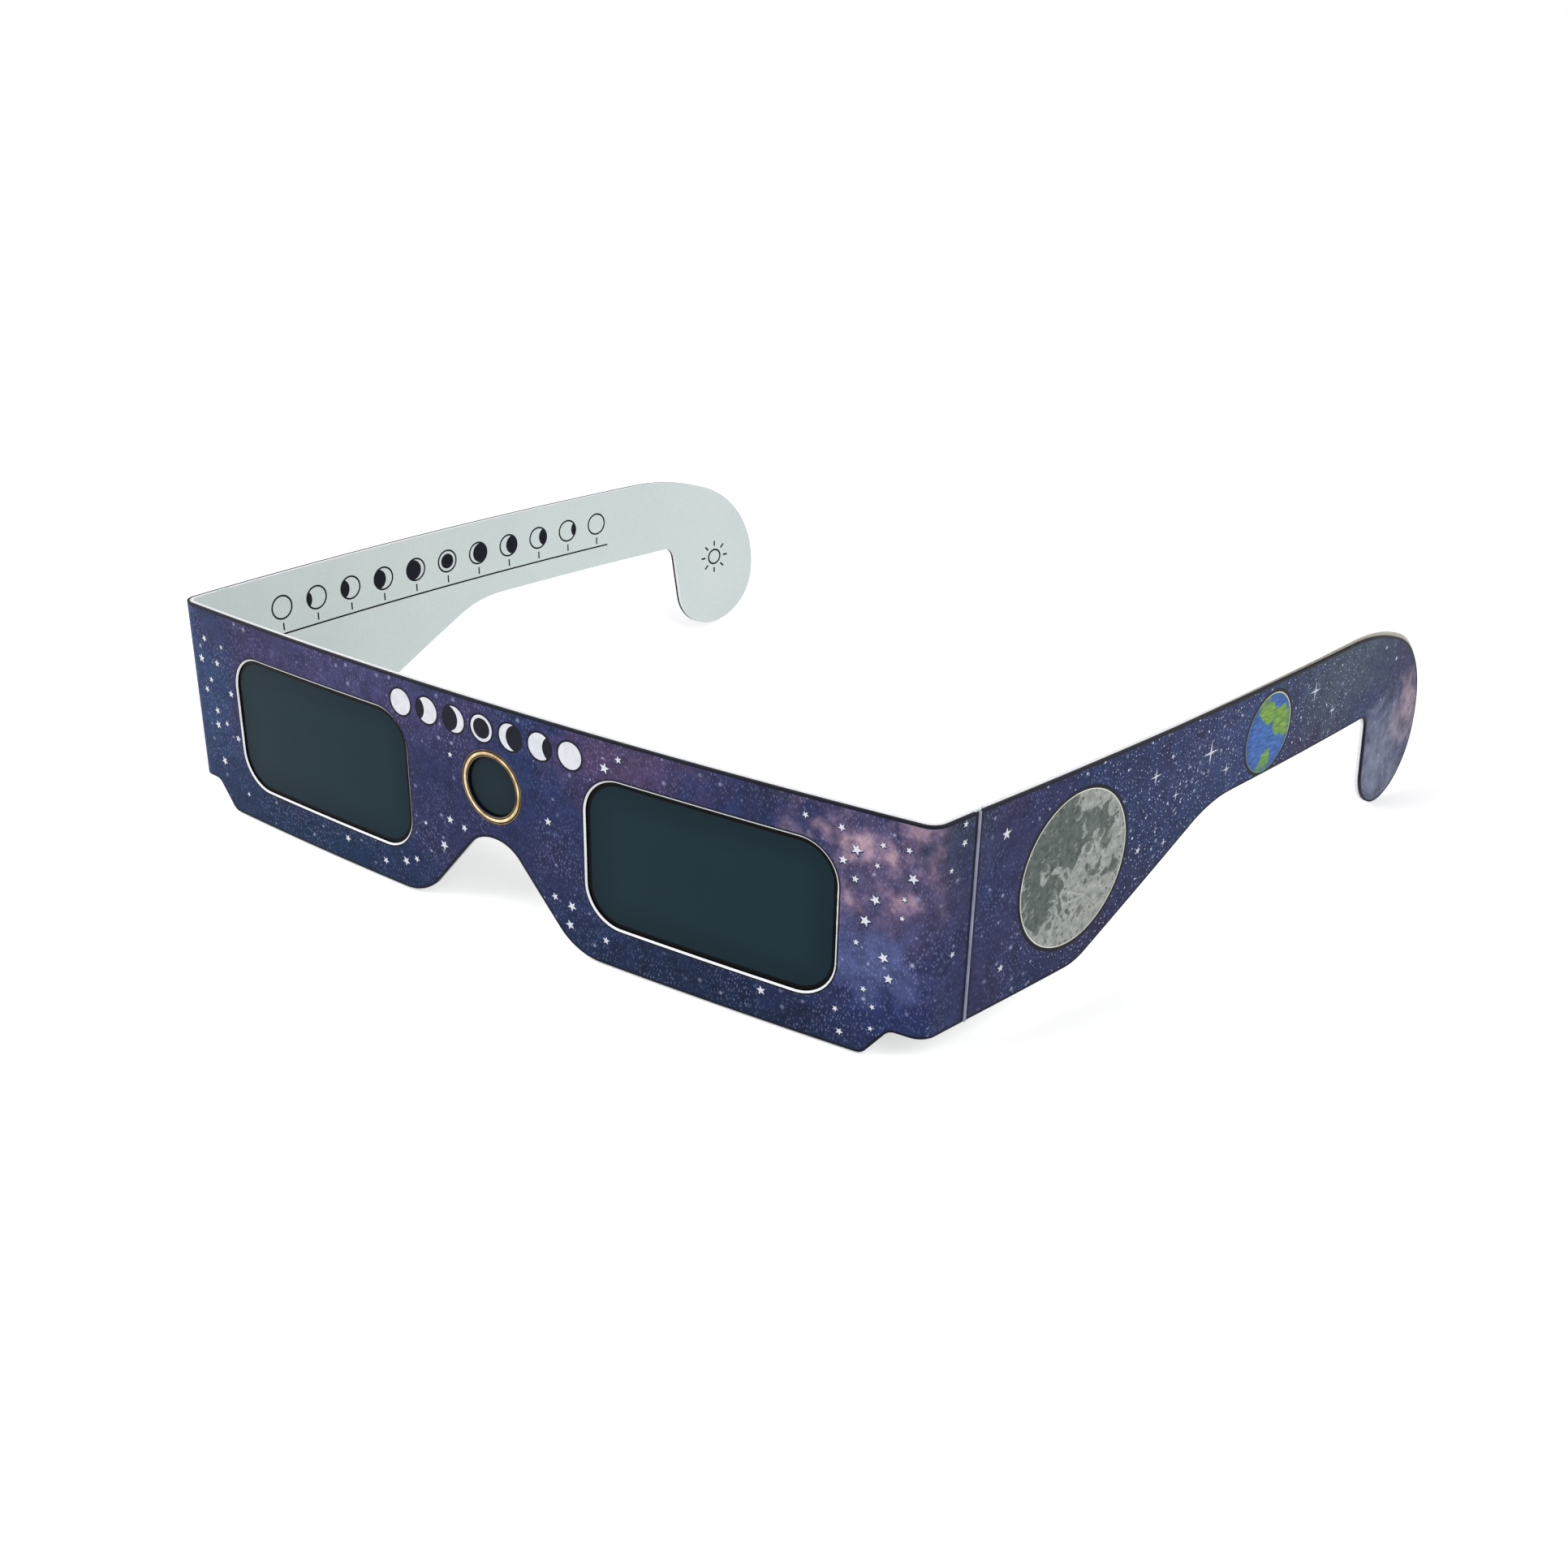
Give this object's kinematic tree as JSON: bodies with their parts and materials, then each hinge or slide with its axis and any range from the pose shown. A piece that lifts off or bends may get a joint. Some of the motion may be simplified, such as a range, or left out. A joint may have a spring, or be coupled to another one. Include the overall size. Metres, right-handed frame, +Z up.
{
  "type": "paper eclipse glasses",
  "caption": "Laminated card viewer with two dark filter windows, a round window over the nose, and folding card arms with ear hooks.",
  "frame": {"origin": "on the surface that the glasses stand on, under the middle of their overall box", "axes": "+X along the front, from the left window to the right one as seen by someone who looks at the printed front; +Y from the front back to the ear hooks; +Z up"},
  "size_m": [0.1796, 0.149, 0.0381],
  "materials": {
    "printed_card": "satin print",
    "white_card": "matt uncoated",
    "adhesive": "clear adhesive sheet",
    "filter_film": "satin dark film",
    "gold_foil": "pressed foil",
    "crease_card": "rubbed print on a crease"
  },
  "bodies": {
    "front": {"front_printed_card": "printed_card", "front_white_liner": "white_card", "front_glue_sheet": "adhesive", "left_filter_film": "filter_film", "right_filter_film": "filter_film", "centre_filter_film": "filter_film", "left_fold_bead": "crease_card", "right_fold_bead": "crease_card", "centre_foil_ring": "gold_foil"},
    "left_arm": {"left_arm_printed_card": "printed_card", "left_arm_glue_sheet": "adhesive", "left_arm_white_liner": "white_card"},
    "right_arm": {"right_arm_printed_card": "printed_card", "right_arm_glue_sheet": "adhesive", "right_arm_white_liner": "white_card"}
  },
  "joints": [
    {"name": "left_arm_fold", "type": "hinge", "parent": "front", "child": "left_arm", "pos_m": [-0.08951, -0.06247, 0.0216], "axis": [0, 0, -1], "range_deg": [-91, 84]},
    {"name": "right_arm_fold", "type": "hinge", "parent": "front", "child": "right_arm", "pos_m": [0.06558, -0.06268, 0.0216], "axis": [0, 0, 1], "range_deg": [-77, 98]}
  ]
}
